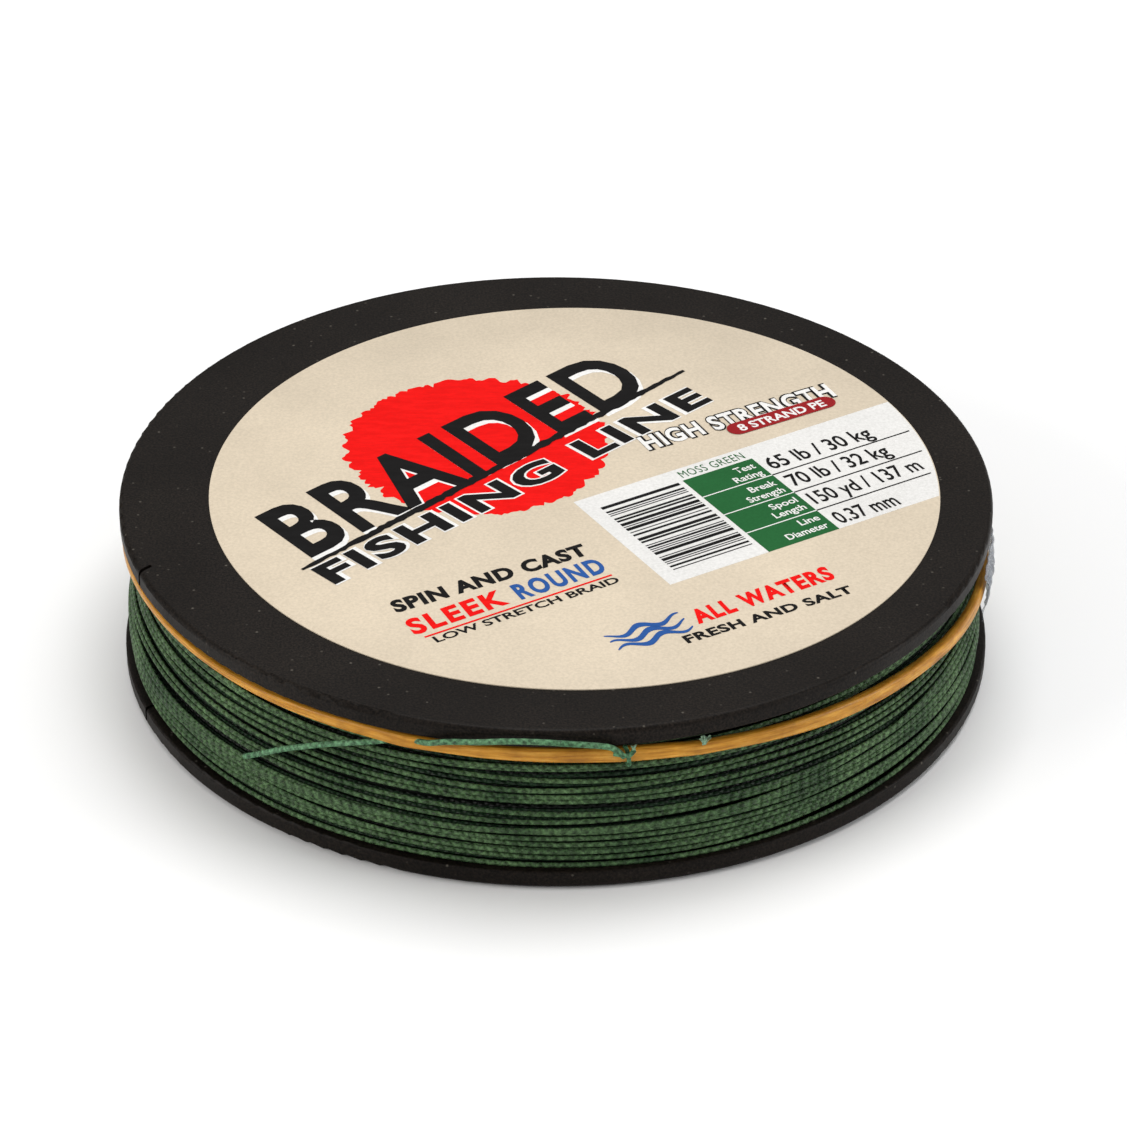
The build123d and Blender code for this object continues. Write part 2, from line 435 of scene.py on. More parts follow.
def make_lights():
    aim = (0, 0, 0.008)
    add_area("top_softbox", (0.1, 0.25, 0.9), aim, (0.7, 0.7), 6.2)
    add_area("left_softbox", (-0.75, -0.35, 0.35), aim, (0.5, 0.5), 4.3, (1.0, 0.98, 0.95))
    add_area("right_softbox", (0.8, -0.15, 0.2), aim, (0.35, 0.4), 2.8)
    world = bpy.data.worlds.new("studio")
    world.use_nodes = True
    world.node_tree.nodes["Background"].inputs["Color"].default_value = (1, 1, 1, 1)
    world.node_tree.nodes["Background"].inputs["Strength"].default_value = 0.4
    bpy.context.scene.world = world
    bpy.context.scene.view_settings.view_transform = "Standard"
    bpy.context.scene.view_settings.look = "None"


def make_camera():
    """Camera at the photograph's angle: a long lens 440 mm from the spool, 32 degrees above it."""
    distance = 0.440
    elevation = math.radians(32.25)
    roll = math.radians(0.15)
    aim = Vector((0.66 * MM, 0, 7.65 * MM))
    place = aim + distance * Vector((0, -math.cos(elevation), math.sin(elevation)))
    data = bpy.data.cameras.new("camera")
    data.sensor_width = 36.0
    data.lens = 159.6
    data.clip_start = 0.01
    camera = bpy.data.objects.new("camera", data)
    facing = (aim - place).to_track_quat("-Z", "Y").to_matrix().to_4x4()
    camera.matrix_world = Matrix.Translation(place) @ facing @ Matrix.Rotation(roll, 4, "Z")
    bpy.context.scene.collection.objects.link(camera)
    bpy.context.scene.camera = camera


# ---------------------------------------------------------------- loose end of the line


def spline_points(name, route, resolution=12):
    """Points along the smooth line that a route's control points give."""
    data = bpy.data.curves.new(name, "CURVE")
    data.dimensions = "3D"
    data.resolution_u = resolution
    spline = data.splines.new("NURBS")
    spline.points.add(len(route) - 1)
    for point, place in zip(spline.points, route):
        point.co = (*place, 1.0)
    spline.order_u = 3
    spline.use_endpoint_u = True
    holder = bpy.data.objects.new(name, data)
    bpy.context.scene.collection.objects.link(holder)
    bpy.context.view_layer.update()
    mesh = bpy.data.meshes.new_from_object(holder)
    points = [vertex.co.copy() for vertex in mesh.vertices]
    bpy.data.objects.remove(holder)
    bpy.data.meshes.remove(mesh)
    return points


def make_tail(material):
    route = [at(math.radians(azimuth), radius * MM, height * MM) for azimuth, radius, height in TAIL_ROUTE]
    path = spline_points("tail_route", route)
    points, faces, uvs = tube_data(path, LINE_D / 2, 12, start_u=0.0)
    tail = new_mesh_object("loose_end", points, faces, material, uvs)
    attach(tail, BAND)
    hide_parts("line_tail")
    return tail, path


def band_height(azimuth):
    """Height of the band's middle, from the slant that the CAD band has."""
    along = (BAND_INNER_R + BAND_T / 2) / MM * math.cos(azimuth - BAND_HIGH_AZIMUTH)
    for (x0, z0), (x1, z1) in zip(BAND_HEIGHTS, BAND_HEIGHTS[1:]):
        if along <= x1:
            break
    share = (along - x0) / (x1 - x0)
    return (z0 + (z1 - z0) * share) * MM


def smooth_band_height(azimuth, reach=math.radians(7)):
    steps = 5
    total = sum(band_height(azimuth + reach * (step / steps)) for step in range(-steps, steps + 1))
    return total / (2 * steps + 1)


def make_knot(material):
    """The hitch: the line goes down over the band, turns under it and cinches on itself."""
    z = smooth_band_height(HITCH_AZIMUTH)
    face = BAND_INNER_R + BAND_T
    degree = math.radians(1)
    upper = FLANGE_UNDER - 0.1 * MM
    rounds = []
    for offset, lean in ((0.1, 0.15),):
        centre = HITCH_AZIMUTH + offset * degree
        route = [
            at(centre - 0.2 * degree, face - 0.35 * MM, min(z + 0.72 * MM, upper)),
            at(centre - 0.1 * degree, face + 0.12 * MM, min(z + 0.74 * MM, upper)),
            at(centre, face + 0.36 * MM, z + 0.45 * MM),
            at(centre + lean * degree, face + 0.36 * MM, z - 0.2 * MM),
            at(centre + lean * degree * 1.3, face + 0.3 * MM, z - 0.68 * MM),
            at(centre + lean * degree * 1.3, face - 0.05 * MM, z - 0.98 * MM),
            at(centre + lean * degree, face - 0.45 * MM, z - 0.92 * MM),
        ]
        path = spline_points("hitch_route", route, 10)
        rounds.append(tube_data(path, LINE_D * 0.36, 12))
    lump_route = [
        at(HITCH_AZIMUTH - 1.7 * degree, face + 0.52 * MM, z + 0.62 * MM),
        at(HITCH_AZIMUTH - 0.9 * degree, face + 0.68 * MM, z + 0.62 * MM),
        at(HITCH_AZIMUTH - 0.1 * degree, face + 0.72 * MM, z + 0.42 * MM),
        at(HITCH_AZIMUTH + 0.5 * degree, face + 0.6 * MM, z + 0.5 * MM),
        at(HITCH_AZIMUTH + 0.9 * degree, face + 0.38 * MM, z + 0.72 * MM),
    ]
    rounds.append(tube_data(spline_points("lump_route", lump_route, 10), LINE_D * 0.4, 12))
    knot = join_tubes("hitch", rounds, material)
    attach(knot, BAND)
    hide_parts("line_knot")
    return knot


def make_tuft(name, azimuth, radius, low, height, spread, count, material, rng, rides=BAND):
    """A frayed end: fine fibres that fan out from one point."""
    tubes = []
    root = at(azimuth, radius, low)
    out = Vector((math.cos(azimuth), math.sin(azimuth), 0))
    side = Vector((-out.y, out.x, 0))
    for _ in range(count):
        lean = rng.gauss(0, spread)
        push = rng.uniform(0.0, 0.5)
        tall = height * rng.uniform(0.55, 1.0)
        curl = rng.gauss(0, 0.5) * spread
        route = [
            root + side * (rng.uniform(-0.14, 0.14) * MM),
            root + side * (lean * tall * 0.35) + out * (push * tall * 0.2) + Vector((0, 0, tall * 0.45)),
            root + side * ((lean + curl) * tall) + out * (push * tall * 0.5) + Vector((0, 0, tall)),
        ]
        path = spline_points(name + "_route", route, 4)
        tubes.append(tube_data(path, 0.045 * MM, 5))
    tuft = join_tubes(name, tubes, material)
    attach(tuft, rides)
    return tuft


# ---------------------------------------------------------------- rubber band and tape


def band_radius_bulge(azimuth):
    """How far the band stands out where the loose end passes under it."""
    bulge = 0.0
    for centre, width, height in ((-109.0, 3.2, 0.2), (-81.0, 2.4, 0.06), (-72.0, 2.2, 0.1)):
        offset = (math.degrees(azimuth) - centre) / width
        bulge += height * math.exp(-offset * offset)
    return bulge * MM


def make_band(material):
    """Flat band with rounded edges, waving and rolling a little round the winding."""
    count = 720
    rng = random.Random(11)
    wave = smooth_noise(rng, count, 14)
    roll = smooth_noise(rng, count, 5)
    width_noise = smooth_noise(rng, count, 18)
    section = []
    corners = 20
    for step in range(corners):
        angle = 2 * math.pi * step / corners
        across = math.copysign(abs(math.cos(angle)) ** 0.62, math.cos(angle))
        upright = math.copysign(abs(math.sin(angle)) ** 0.5, math.sin(angle))
        section.append((across, upright))
    points, faces, uvs = [], [], []
    for index in range(count):
        azimuth = -math.pi + 2 * math.pi * index / count
        degrees = math.degrees(azimuth)
        # On the left the band is rolled on edge against the flange, so it looks thin there.
        on_edge = math.exp(-(((degrees + 150) / 32) ** 2))
        half_w = BAND_W / 2 * (0.93 - 0.42 * on_edge) * (1 + 0.07 * width_noise[index])
        half_t = BAND_T / 2 * (1 + 0.04 * width_noise[(index + 90) % count])
        middle = smooth_band_height(azimuth) + wave[index] * 0.08 * MM + on_edge * 0.1 * MM
        middle = min(middle, FLANGE_UNDER - half_w - 0.05 * MM)
        radius = BAND_INNER_R + BAND_T / 2 + band_radius_bulge(azimuth) + 0.03 * MM
        tilt = roll[index] * math.radians(5) * (1 - on_edge)
        for across, upright in section:
            radial = across * half_t * math.cos(tilt) - upright * half_w * math.sin(tilt)
            vertical = upright * half_w * math.cos(tilt) + across * half_t * math.sin(tilt)
            points.append(at(azimuth, radius + radial, middle + vertical))
    for index in range(count):
        low = index * corners
        high = (index + 1) % count * corners
        for step in range(corners):
            following = (step + 1) % corners
            faces.append((low + step, high + step, high + following, low + following))
            u0, u1 = index / count, (index + 1) / count
            v0, v1 = step / corners, (step + 1) / corners
            uvs.extend([(v0, u0), (v0, u1), (v1, u1), (v1, u0)])
    band = new_mesh_object("stretched_band", points, faces, material, uvs)
    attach(band, BAND)
    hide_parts("rubber_band")
    return band


def make_tape(material):
    """Clear tape folded over the band: a thin crumpled skin with uneven edges."""
    rng = random.Random(5)
    low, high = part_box("clear_tape")
    middle = (low[2] + high[2]) / 2
    half = (high[2] - low[2]) / 2
    centre = math.radians(-6.0)
    span = math.radians(15.0)
    columns, rows = 60, 26
    thickness = 0.06 * MM
    ripple = [(rng.uniform(2, 9), rng.uniform(2, 7), rng.uniform(0, 6.28), rng.uniform(0.4, 1.0)) for _ in range(7)]
    points, faces = [], []
    for layer in (0, 1):
        for row in range(rows + 1):
            v = row / rows * 2 - 1
            for column in range(columns + 1):
                u = column / columns * 2 - 1
                azimuth = centre + u * span / 2 * (1 - 0.05 * math.sin(5 * v))
                over_band = math.exp(-((v * half / (1.3 * MM)) ** 4))
                lift = (0.26 if v > 0 else 0.26 - 0.2 * v * v) * MM + 0.28 * MM * over_band
                crumple = sum(weight * math.sin(a * u * 3 + b * v * 2 + phase) for a, b, phase, weight in ripple)
                lift += 0.028 * MM * crumple
                radius = BAND_INNER_R + BAND_T + lift - 0.12 * MM + layer * thickness
                edge_wave = 0.035 * math.sin(7 * u + 1) + 0.02 * math.sin(19 * u)
                height = middle + v * half * (0.93 + edge_wave * abs(v))
                points.append(at(azimuth, radius, height))
    stride = columns + 1
    sheet = (rows + 1) * stride
    for row in range(rows):
        for column in range(columns):
            a = row * stride + column
            b = a + 1
            c = a + stride + 1
            d = a + stride
            faces.append((sheet + a, sheet + b, sheet + c, sheet + d))
            faces.append((a, d, c, b))
    border = [column for column in range(columns)]
    for column in border:
        faces.append((column, column + 1, sheet + column + 1, sheet + column))
        top = rows * stride + column
        faces.append((top + 1, top, sheet + top, sheet + top + 1))
    for row in range(rows):
        left = row * stride
        right = left + columns
        faces.append((left + stride, left, sheet + left, sheet + left + stride))
        faces.append((right, right + stride, sheet + right + stride, sheet + right))
    tape = new_mesh_object("tape_patch", points, faces, material)
    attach(tape, BAND)
    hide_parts("clear_tape")
    return tape


# ---------------------------------------------------------------- winding


def pack_radius(height, azimuth):
    """Radius of the winding's outer surface: straight under the band, crowned below it."""
    if height > 9.2 * MM:
        base = PACK_TOP_R
    elif height > PACK_CROWN_Z:
        share = (9.2 * MM - height) / (9.2 * MM - PACK_CROWN_Z)
        base = PACK_TOP_R + (PACK_CROWN_R - PACK_TOP_R) * math.sin(share * math.pi / 2)
    else:
        share = (PACK_CROWN_Z - height) / (PACK_CROWN_Z - FLANGE_UPPER)
        base = PACK_CROWN_R + (PACK_BOTTOM_R - PACK_CROWN_R) * share**2
    # The crown is fuller on the left and front, and sinks in at the right.
    fullness = 0.5 + 0.5 * math.cos(azimuth - math.radians(-140))
    crown = max(0.0, 1 - abs(height - 5.5 * MM) / (5.5 * MM))
    return base - (1 - fullness) * 0.55 * MM * crown


def winding_layer(index, turns, depth, rng, segments, strand_r, slope):
    """Turns of line side by side in one layer, each wandering, with bunches and gaps."""
    tubes = []
    room = strand_r + 0.7 * slope
    step = (FLANGE_UNDER - FLANGE_UPPER - 2 * room) / (turns - 1)
    heights = [FLANGE_UPPER + room + step * turn for turn in range(turns)]
    jitter = [rng.gauss(0, 0.13) * step for _ in range(turns)]
    bunch = smooth_noise(rng, segments, 4)
    for turn in range(turns):
        wander = smooth_noise(rng, segments, 7)
        lift = smooth_noise(rng, segments, 9)
        size = strand_r * rng.uniform(0.93, 1.06)
        path = []
        for segment in range(segments):
            azimuth = 2 * math.pi * segment / segments
            drift = slope * math.cos(azimuth + index * 1.7 + turn * 0.05)
            height = heights[turn] + jitter[turn] + wander[segment] * 0.17 * step + drift
            height += bunch[segment] * 0.06 * step * math.sin(turn * 1.9 + index)
            height = min(max(height, FLANGE_UPPER + size), FLANGE_UNDER - size)
            radius = pack_radius(height, azimuth) - depth + lift[segment] * 0.06 * MM
            path.append(at(azimuth, radius, height))
        tubes.append(tube_data(path, size, 8, closed=True, squash=0.95, start_u=rng.uniform(0, 0.01)))
    return tubes


def make_under_pack(material):
    """Dark ring just under the outer layers, so no gap looks through the winding; its dark colour is painted shade."""
    count = 180
    profile = []
    rows = 24
    inner = 27.2 * MM
    for row in range(rows + 1):
        height = FLANGE_UPPER + (FLANGE_UNDER - FLANGE_UPPER) * row / rows
        profile.append((None, height))
    points, faces = [], []
    for index in range(count):
        azimuth = 2 * math.pi * index / count
        for _, height in profile:
            points.append(at(azimuth, pack_radius(height, azimuth) - 1.3 * MM, height))
        points.append(at(azimuth, inner, FLANGE_UNDER))
        points.append(at(azimuth, inner, FLANGE_UPPER))
    stride = rows + 3
    for index in range(count):
        low = index * stride
        high = (index + 1) % count * stride
        for row in range(stride):
            following = (row + 1) % stride
            faces.append((low + row, high + row, high + following, low + following))
    pack = new_mesh_object("wound_core", points, faces, material)
    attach(pack, SPOOL)
    return pack


def make_winding(material, under_material_painted_shade, deep_material_painted_shade):
    rng = random.Random(23)
    core = make_under_pack(deep_material_painted_shade)
    pieces = [core]
    # The inner layer and the core take the darkest copy of the line's colour and the middle layer a darker one: painted
    # shade between the outer turns.
    layers = (
        ("wound_layer_inner", 20, 1.05 * MM, 0.10 * MM, 240, deep_material_painted_shade),
        ("wound_layer_middle", 16, 0.78 * MM, 0.25 * MM, 300, under_material_painted_shade),
        ("wound_layer_outer", 17, 0.26 * MM, 0.34 * MM, 360, material),
    )
    for index, (name, turns, depth, slope, segments, line) in enumerate(layers):
        tubes = winding_layer(index, turns, depth, rng, segments, STRAND_R, slope)
        layer = join_tubes(name, tubes, line)
        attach(layer, SPOOL)
        pieces.append(layer)
    crossings = []
    for index in range(4):
        crossings.append(crossing_turn(rng, index))
    layer = join_tubes("wound_crossings", crossings, material)
    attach(layer, SPOOL)
    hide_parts("line_pack")
    return pieces


def crossing_turn(rng, index):
    """One turn that runs at a steeper slant over its neighbours, as the last turns do."""
    segments = 360
    low = FLANGE_UPPER + STRAND_R + rng.uniform(0.2, 3.5) * MM
    high = low + rng.uniform(1.2, 3.6) * MM
    phase = rng.uniform(0, 2 * math.pi)
    wander = smooth_noise(rng, segments, 6)
    path = []
    for segment in range(segments):
        azimuth = 2 * math.pi * segment / segments
        share = 0.5 + 0.5 * math.cos(azimuth - phase)
        height = low + (high - low) * share + wander[segment] * 0.12 * MM
        height = min(height, 9.0 * MM)
        radius = pack_radius(height, azimuth) - 0.1 * MM
        path.append(at(azimuth, radius, height))
    return tube_data(path, STRAND_R, 8, closed=True, squash=0.9)


# ---------------------------------------------------------------- label and print

INK_STEP = 0.006 * MM
CAP_SHARE = 0.729
SUN_CENTRE = (-8.6, 7.0)
SUN_R = 11.7
PANEL_CORNER = (-0.1, -2.6)
PANEL_ANGLE = math.radians(31.6)
PANEL_DEEP = 15.6
PANEL_RULES = (5.1, 8.5, 12.0)
GREEN_U = 10.0
GREEN_WIDE = 7.25


def label_disc(material):
    """Paper disc with a softly rounded cut edge, a hair proud of the flange."""
    rings = ((0.0, LABEL_Z), (LABEL_R * 0.5, LABEL_Z), (LABEL_R - 0.05 * MM, LABEL_Z),
             (LABEL_R, LABEL_Z - 0.04 * MM), (LABEL_R, FLANGE_TOP + 0.002 * MM))
    count = 256
    points = [(LABEL_X, LABEL_Y, rings[0][1])]
    faces = []
    for radius, height in rings[1:]:
        for step in range(count):
            angle = 2 * math.pi * step / count
            points.append((LABEL_X + radius * math.cos(angle), LABEL_Y + radius * math.sin(angle), height))
    for step in range(count):
        following = (step + 1) % count
        faces.append((0, 1 + step, 1 + following))
        for ring in range(len(rings) - 2):
            low = 1 + ring * count
            high = low + count
            faces.append((low + step, high + step, high + following, low + following))
    last = 1 + (len(rings) - 2) * count
    faces.append(tuple(last + step for step in reversed(range(count))))
    label = new_mesh_object("label_paper_disc", points, faces, material)
    label.data.set_sharp_from_angle(angle=math.radians(50))
    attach(label, SPOOL)
    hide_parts("front_label")
    return label


def ink_piece(name, outline_faces, level, material):
    """Flat ink film: polygons in label millimetres, laid at the given ink level."""
    height = LABEL_Z + INK_STEP * level
    points, faces = [], []
    for polygon in outline_faces:
        base = len(points)
        points.extend((LABEL_X + x * MM, LABEL_Y + y * MM, height) for x, y in polygon)
        faces.append(tuple(range(base, base + len(polygon))))
    piece = new_mesh_object(name, points, faces, material, smooth=False)
    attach(piece, SPOOL)
    return piece


def rotated(x, y, angle, origin=(0, 0)):
    c, s = math.cos(angle), math.sin(angle)
    return origin[0] + x * c - y * s, origin[1] + x * s + y * c


def bar(x, y, width, height, angle, origin=(0, 0)):
    """Rectangle with its lower left corner at x, y in a frame turned by angle about origin."""
    return [rotated(px, py, angle, origin) for px, py in ((x, y), (x + width, y), (x + width, y + height), (x, y + height))]


def letters(name, body, size, place, angle, level, material, stretch=1.0, thicken=0.0, shear=0.0, align="LEFT", spacing=1.0):
    """Printed words as a flat ink film, in label millimetres."""
    data = bpy.data.curves.new(name, "FONT")
    data.body = body
    data.size = size * MM
    data.offset = thicken * MM
    data.shear = shear
    data.align_x = align
    data.space_character = spacing
    data.resolution_u = 4
    data.fill_mode = "FRONT"
    holder = bpy.data.objects.new(name + "_text", data)
    bpy.context.scene.collection.objects.link(holder)
    bpy.context.view_layer.update()
    mesh = bpy.data.meshes.new_from_object(holder)
    bpy.data.objects.remove(holder)
    turn = Matrix.Rotation(angle, 4, "Z") @ Matrix.Diagonal((stretch, 1, 1, 1))
    shift = Matrix.Translation((LABEL_X + place[0] * MM, LABEL_Y + place[1] * MM, LABEL_Z + INK_STEP * level))
    mesh.transform(shift @ turn)
    mesh.materials.clear()
    mesh.materials.append(material)
    piece = bpy.data.objects.new(name, mesh)
    bpy.context.scene.collection.objects.link(piece)
    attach(piece, SPOOL)
    return piece


def rough_disc(centre, radius, rng, teeth, depth):
    """Disc outline with a torn, dry-brush edge."""
    outline = []
    count = 260
    phases = [(rng.randint(3, teeth), rng.uniform(0, 6.28), rng.uniform(0.2, 1.0)) for _ in range(10)]
    for step in range(count):
        angle = 2 * math.pi * step / count
        wobble = sum(weight * math.sin(wave * angle + phase) for wave, phase, weight in phases) / 4
        spike = depth * 0.5 * max(0.0, rng.gauss(0, 1)) * (0.4 + 0.6 * abs(math.sin(2 * angle)))
        r = radius + depth * wobble - spike
        outline.append((centre[0] + r * math.cos(angle), centre[1] + r * math.sin(angle)))
    return outline


def along(start, end, across=0.0):
    """Angle and origin of a line of print from start to end, in label millimetres."""
    angle = math.atan2(end[1] - start[1], end[0] - start[0])
    return rotated(0, across, angle, start), angle


def fitted_words(name, body, start, end, tall, level, material, thicken=0.0, shear=0.0, spacing=1.0, nudge=(0, 0)):
    """Words whose letters stand on the line from start to end, stretched to fill it."""
    place, angle = along(start, end)
    size = tall / CAP_SHARE
    words = letters(name, body, size, (0, 0), 0, level, material, 1.0, thicken, shear, "LEFT", spacing)
    xs = [vertex.co.x for vertex in words.data.vertices]
    width = (max(xs) - min(xs)) / MM
    wanted = math.hypot(end[0] - start[0], end[1] - start[1])
    left = (min(xs) - LABEL_X) / MM
    stretch = wanted / width
    for vertex in words.data.vertices:
        x = ((vertex.co.x - LABEL_X) / MM - left) * stretch
        y = (vertex.co.y - LABEL_Y) / MM
        px, py = rotated(x, y, angle, (place[0] + nudge[0], place[1] + nudge[1]))
        vertex.co.x = LABEL_X + px * MM
        vertex.co.y = LABEL_Y + py * MM
    return words


def inside_label(polygon, margin=0.12):
    """Polygon with any corner outside the label pulled back to the label's edge."""
    limit = LABEL_R / MM - margin
    kept = []
    for x, y in polygon:
        reach = math.hypot(x, y)
        shrink = min(1.0, limit / reach) if reach else 1.0
        kept.append((x * shrink, y * shrink))
    return kept


def panel_point(u, v):
    """Point of the data panel: u to the right along its top, v down its left side."""
    angle = PANEL_ANGLE
    return rotated(u, -v, angle, PANEL_CORNER)


def panel_box(u, v, width, height):
    return [panel_point(*corner) for corner in ((u, v + height), (u + width, v + height), (u + width, v), (u, v))]


def panel_reach(v):
    """How far the panel runs in u before it meets the label's edge."""
    limit = LABEL_R / MM - 0.1
    low, high = 0.0, 60.0
    for _ in range(40):
        middle = (low + high) / 2
        if math.hypot(*panel_point(middle, v)) < limit:
            low = middle
        else:
            high = middle
    return low


def brush_stroke(start, end, thick, rng, taper=0.35):
    """Long dry-brush line: thin at both ends, ragged along both sides."""
    steps = 90
    length = math.hypot(end[0] - start[0], end[1] - start[1])
    angle = math.atan2(end[1] - start[1], end[0] - start[0])
    upper, lower = [], []
    for step in range(steps + 1):
        share = step / steps
        body = thick * (taper + (1 - taper) * math.sin(math.pi * share) ** 0.6)
        upper.append(rotated(length * share, body * (0.5 + rng.uniform(-0.16, 0.16)), angle, start))
        lower.append(rotated(length * share, -body * (0.5 + rng.uniform(-0.16, 0.16)), angle, start))
    return lower + upper[::-1]


def wave_mark(start, end, tall, rng):
    """Three plain wave lines, a generic mark for water."""
    waves = []
    length = math.hypot(end[0] - start[0], end[1] - start[1])
    angle = math.atan2(end[1] - start[1], end[0] - start[0])
    for row in range(3):
        upper, lower = [], []
        level = tall * (row + 0.5) / 3
        for step in range(31):
            share = step / 30
            lift = 0.14 * tall * math.sin(share * 4 * math.pi + row)
            half = 0.085 * tall * (0.35 + math.sin(math.pi * share))
            upper.append(rotated(length * share, level + lift + half, angle, start))
            lower.append(rotated(length * share, level + lift - half, angle, start))
        waves.append(lower + upper[::-1])
    return waves


def print_heading(black, white, red, rng):
    """Red brush disc with the large slanted word, its stroke and the second line of words."""
    disc = rough_disc(SUN_CENTRE, SUN_R, rng, 40, 0.55)
    ink_piece("ink_red_disc", [disc], 1, red)
    start, end = (-22.6, -11.6), (7.4, 17.6)
    for name, level, material, thicken, nudge in (
        ("ink_word_shadow", 2, white, 0.3, (0.4, -0.5)),
        ("ink_word", 4, black, 0.3, (0, 0)),
    ):
        fitted_words(name, "BRAIDED", start, end, 8.3, level, material, thicken, 0.12, 1.1, nudge)
    stroke = brush_stroke((-23.1, -13.7), (9.9, 20.2), 0.85, rng)
    ink_piece("ink_brush_stroke", [stroke], 5, black)
    start, end = (-20.3, -15.9), (12.3, 15.0)
    fitted_words("ink_line_halo", "FISHING LINE", start, end, 3.1, 3, white, 0.33, 0.0, 1.15)
    fitted_words("ink_line_words", "FISHING LINE", start, end, 3.1, 6, black, 0.17, 0.0, 1.15)


def print_slogan(black, white, deep_red):
    start, end = (6.5, 6.2), (23.6, 15.9)
    fitted_words("ink_slogan_edge", "HIGH STRENGTH", start, end, 2.3, 7, black, 0.26, 0.05, 1.1)
    fitted_words("ink_slogan", "HIGH STRENGTH", start, end, 2.3, 8, white, 0.1, 0.05, 1.1)
    place, angle = along((14.2, 8.6), (24.6, 14.7))
    pill = []
    half, length = 0.98, 11.0
    for centre, first in ((0.9, 90), (length - 0.9, -90)):
        for step in range(13):
            turn = math.radians(first + 180 * step / 12)
            pill.append(rotated(centre + half * math.cos(turn), half + half * math.sin(turn), angle, place))
    ink_piece("ink_pill", [pill], 9, deep_red)
    fitted_words(
        "ink_pill_words", "8 STRAND PE", rotated(1.0, 0.42, angle, place), rotated(length - 1.0, 0.42, angle, place),
        1.12, 10, white, 0.04,
    )


def print_panel(panel, black, white, green, rng):
    """White data panel with bars, a green block of row names, and the values in black."""
    edge = [panel_point(0, 0), panel_point(0, PANEL_DEEP)]
    for step in range(25):
        v = PANEL_DEEP * (1 - step / 24)
        edge.append(panel_point(panel_reach(v), v))
    ink_piece("ink_data_panel", [edge], 1, panel)
    bars = []
    v = 2.0
    while v < 14.0:
        thick = rng.choice((0.14, 0.14, 0.28, 0.42))
        bars.append(panel_box(1.5, v, 8.0, thick))
        v += thick + rng.choice((0.16, 0.16, 0.3, 0.44))
    ink_piece("ink_bars", bars, 2, black)
    block = panel_box(GREEN_U, 1.9, GREEN_WIDE, PANEL_DEEP - 1.9)
    ink_piece("ink_green_block", [block], 2, green)
    rules = [panel_box(GREEN_U, v, GREEN_WIDE, 0.13) for v in PANEL_RULES]
    ink_piece("ink_green_rules", rules, 3, white)
    rules = [panel_box(GREEN_U + GREEN_WIDE, v, panel_reach(v) - GREEN_U - GREEN_WIDE - 0.5, 0.17) for v in PANEL_RULES]
    ink_piece("ink_panel_rules", rules, 3, black)
    start, end = panel_point(GREEN_U + 0.3, 1.55), panel_point(GREEN_U + GREEN_WIDE - 0.4, 1.55)
    fitted_words("ink_colour_name", "MOSS GREEN", start, end, 1.15, 3, green, 0.0, 0.0, 1.1)
    for index, (words, v, wide) in enumerate((
        ("Test", 3.4, 2.0), ("Rating", 4.75, 2.9), ("Break", 6.75, 2.7), ("Strength", 8.1, 3.7),
        ("Spool", 10.05, 2.7), ("Length", 11.4, 3.2), ("Line", 13.5, 2.0), ("Diameter", 14.9, 4.2),
    )):
        right = GREEN_U + GREEN_WIDE - 0.5
        start, end = panel_point(right - wide, v), panel_point(right, v)
        fitted_words(f"ink_row_name_{index}", words, start, end, 0.92, 3, white, 0.02)
    for index, (words, v, wide) in enumerate((
        ("65 lb / 30 kg", 4.4, 10.8), ("70 lb / 32 kg", 7.75, 10.4), ("150 yd / 137 m", 11.2, 11.4), ("0.37 mm", 15.0, 6.3),
    )):
        left = GREEN_U + GREEN_WIDE + 0.6
        start, end = panel_point(left, v), panel_point(left + wide, v)
        fitted_words(f"ink_row_value_{index}", words, start, end, 2.0, 3, black, 0.045)


def print_lower_words(black, red, blue, rng):
    start, end = (-14.9, -20.3), (1.4, -10.9)
    fitted_words("ink_use_words", "SPIN AND CAST", start, end, 1.75, 3, black, 0.12, 0.1, 1.12)
    fitted_words("ink_sleek", "SLEEK", (-13.3, -23.7), (-5.4, -18.7), 2.3, 3, red, 0.13, 0.12, 1.2)
    fitted_words("ink_round", "ROUND", (-4.5, -18.2), (2.9, -13.6), 2.3, 3, blue, 0.13, 0.12, 1.2)
    rule, angle = along((-12.4, -24.2), (3.3, -14.4))
    ink_piece("ink_thin_rule", [bar(0, 0, 18.4, 0.22, angle, rule)], 3, red)
    fitted_words("ink_small_words", "LOW STRETCH BRAID", (-11.4, -24.9), (3.9, -15.4), 0.95, 3, black, 0.03)
    ink_piece("ink_waves", wave_mark((3.9, -26.4), (10.1, -22.7), 3.0, rng), 3, blue)
    fitted_words("ink_water_words", "ALL WATERS", (10.3, -21.9), (22.2, -14.6), 2.0, 3, red, 0.13, 0.12, 1.18)
    fitted_words("ink_lower_words", "FRESH AND SALT", (9.4, -24.9), (23.6, -16.9), 1.15, 3, black, 0.06, 0.0, 1.08)


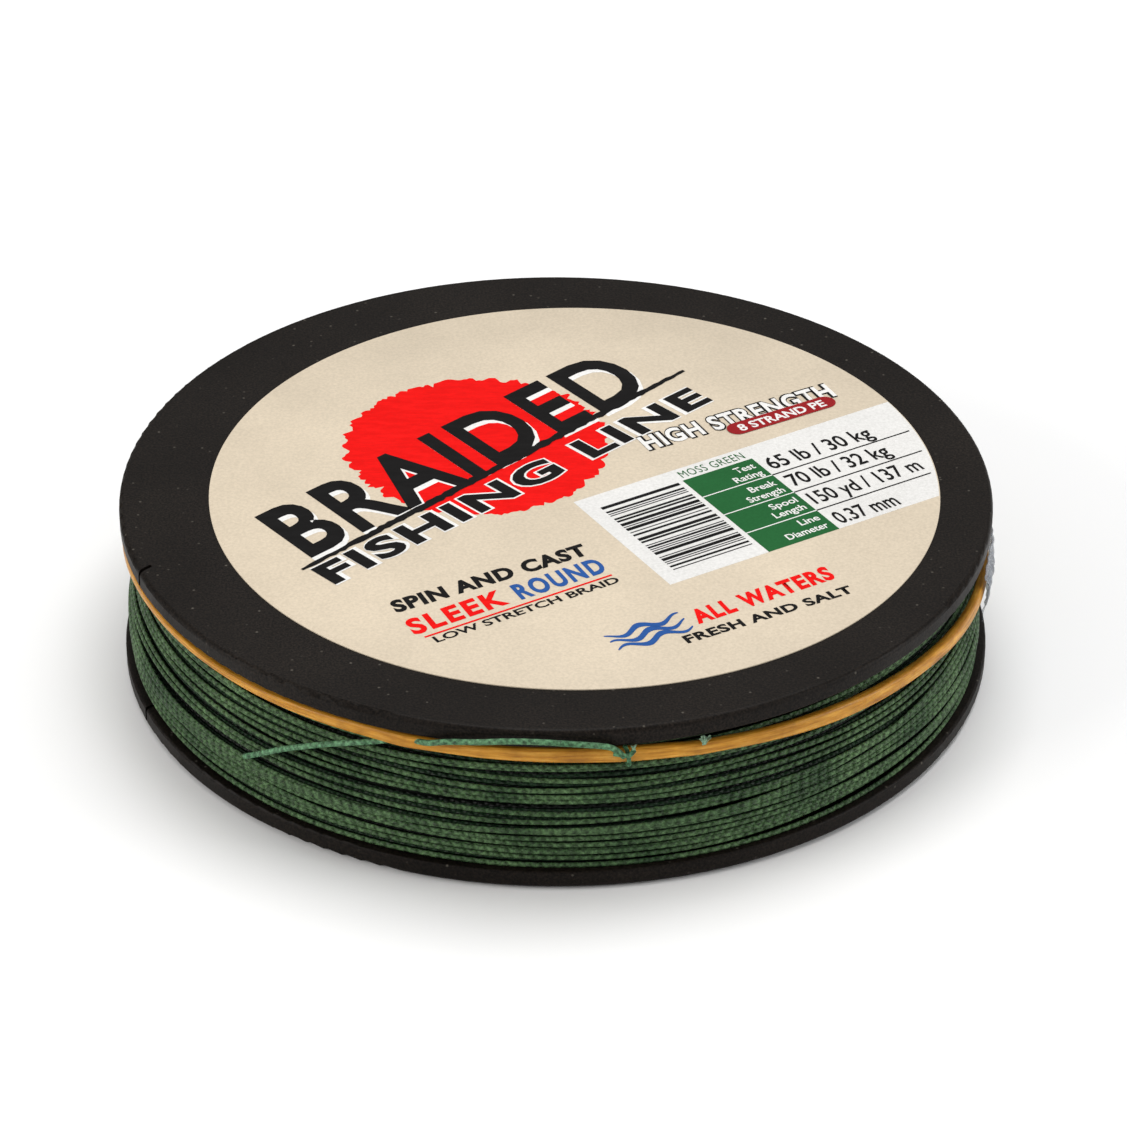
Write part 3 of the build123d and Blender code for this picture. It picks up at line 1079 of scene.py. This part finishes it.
def make_label():
    """Paper disc and its print: generic words in the places where the spool carries print."""
    paper = paper_material("label_cream_paper", (0.665, 0.57, 0.44), 0.4)
    white = paper_material("ink_white", (0.83, 0.82, 0.8), 0.4)
    panel = paper_material("ink_panel", (0.77, 0.76, 0.74), 0.42)
    black = brushed_ink("ink_black", (0.006, 0.0055, 0.0055))
    red = brushed_ink("ink_red", (0.72, 0.003, 0.002))
    deep_red = paper_material("ink_deep_red", (0.3, 0.01, 0.013), 0.4)
    green = paper_material("ink_green", (0.014, 0.115, 0.03), 0.4)
    blue = paper_material("ink_blue", (0.02, 0.09, 0.32), 0.4)
    rng = random.Random(3)
    label_disc(paper)
    print_heading(black, white, red, rng)
    print_slogan(black, white, deep_red)
    print_panel(panel, black, white, green, rng)
    print_lower_words(black, red, blue, rng)


# ---------------------------------------------------------------- build

make_camera()
make_stage()
make_lights()

LINE_DARK = (0.012, 0.036, 0.012)
LINE_LIGHT = (0.08, 0.145, 0.06)
# The lower layers and the core use darker copies of the line's moss green: painted shade in the gaps between the outer
# turns.
UNDER_PAINTED_SHADE_DARK = (0.002, 0.009, 0.003)
UNDER_PAINTED_SHADE_LIGHT = (0.014, 0.038, 0.015)
wound_line = braid_material("braid_moss_green", LINE_DARK, LINE_LIGHT)
under_line_painted_shade = braid_material("braid_lower_layers_painted_shade", UNDER_PAINTED_SHADE_DARK, UNDER_PAINTED_SHADE_LIGHT)
deep_line_painted_shade = braid_material("braid_deep_painted_shade", (0.0006, 0.0018, 0.0008), (0.002, 0.005, 0.0022))
free_line = braid_material("braid_loose_end", (0.035, 0.115, 0.05), (0.12, 0.25, 0.13), 0.8)
fibre = braid_material("braid_fibres", (0.12, 0.24, 0.14), (0.3, 0.42, 0.3), 0.3)

tail, tail_path = make_tail(free_line)
knot = make_knot(free_line)
tuft_rng = random.Random(8)
tag = make_tuft(
    "frayed_tag", TAG_AZIMUTH, BAND_INNER_R + BAND_T + 0.2 * MM, smooth_band_height(TAG_AZIMUTH) + 0.45 * MM,
    1.0 * MM, 0.32, 22, fibre, tuft_rng,
)
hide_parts("line_tag")
fuzz = make_tuft(
    "hitch_fuzz", HITCH_AZIMUTH + math.radians(0.8), BAND_INNER_R + BAND_T + 0.5 * MM,
    smooth_band_height(HITCH_AZIMUTH) + 0.75 * MM, 0.7 * MM, 0.35, 7, fibre, tuft_rng,
)

make_band(rubber_material())
make_tape(film_material())
make_winding(wound_line, under_line_painted_shade, deep_line_painted_shade)
make_label()

plastic = black_plastic()
anchor = paper_material("anchor_tape_film", (0.6, 0.52, 0.36))
for node_name in ("upper_flange", "lower_flange", "core_drum"):
    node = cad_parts[node_name]
    for index in range(max(1, len(node.material_slots))):
        node.material_slots[index].material = plastic
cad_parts["anchor_tape"].material_slots[0].material = anchor
